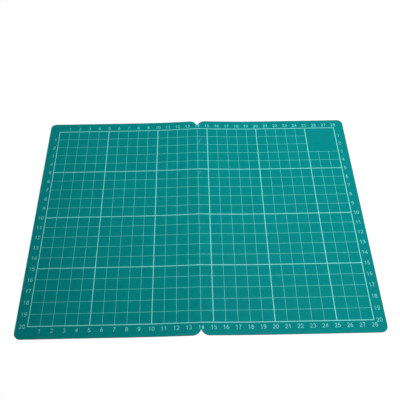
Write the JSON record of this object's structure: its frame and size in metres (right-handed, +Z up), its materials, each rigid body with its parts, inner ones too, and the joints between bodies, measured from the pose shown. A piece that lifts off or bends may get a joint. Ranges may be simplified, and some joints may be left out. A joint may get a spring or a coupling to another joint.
{
  "type": "folding cutting mat",
  "caption": "Thin laminated cutting mat that folds in half along a living hinge, with a ruled centimetre grid, rounded corners and a V notch at each end of the fold.",
  "frame": {"origin": "on the table under the middle of the fold, with the mat lying open", "axes": "+X along the long side of the open mat, towards the half that folds over; +Y along the fold, away from the near edge; +Z up, out of the printed face"},
  "size_m": [0.3, 0.22, 0.0043],
  "materials": {
    "face_sheet": "satin PVC with a fine grain, printed in white",
    "cushion": "plain cut PVC",
    "core": "plain cut PVC",
    "back_sheet": "satin PVC with a fine grain",
    "print": "thin screen-printed white ink"
  },
  "bodies": {
    "left_half": {"back_sheet_left": "back_sheet", "lower_cushion_left": "cushion", "core_left": "core", "upper_cushion_left": "cushion", "face_sheet_left": "face_sheet", "fold_web": "face_sheet"},
    "right_half": {"back_sheet_right": "back_sheet", "lower_cushion_right": "cushion", "core_right": "core", "upper_cushion_right": "cushion", "face_sheet_right": "face_sheet"}
  },
  "joints": [
    {"name": "fold", "type": "hinge", "parent": "left_half", "child": "right_half", "pos_m": [0, 0, 0.0046], "axis": [0, -1, 0], "range_deg": [0, 181.8], "deforming": ["fold_web"]}
  ]
}
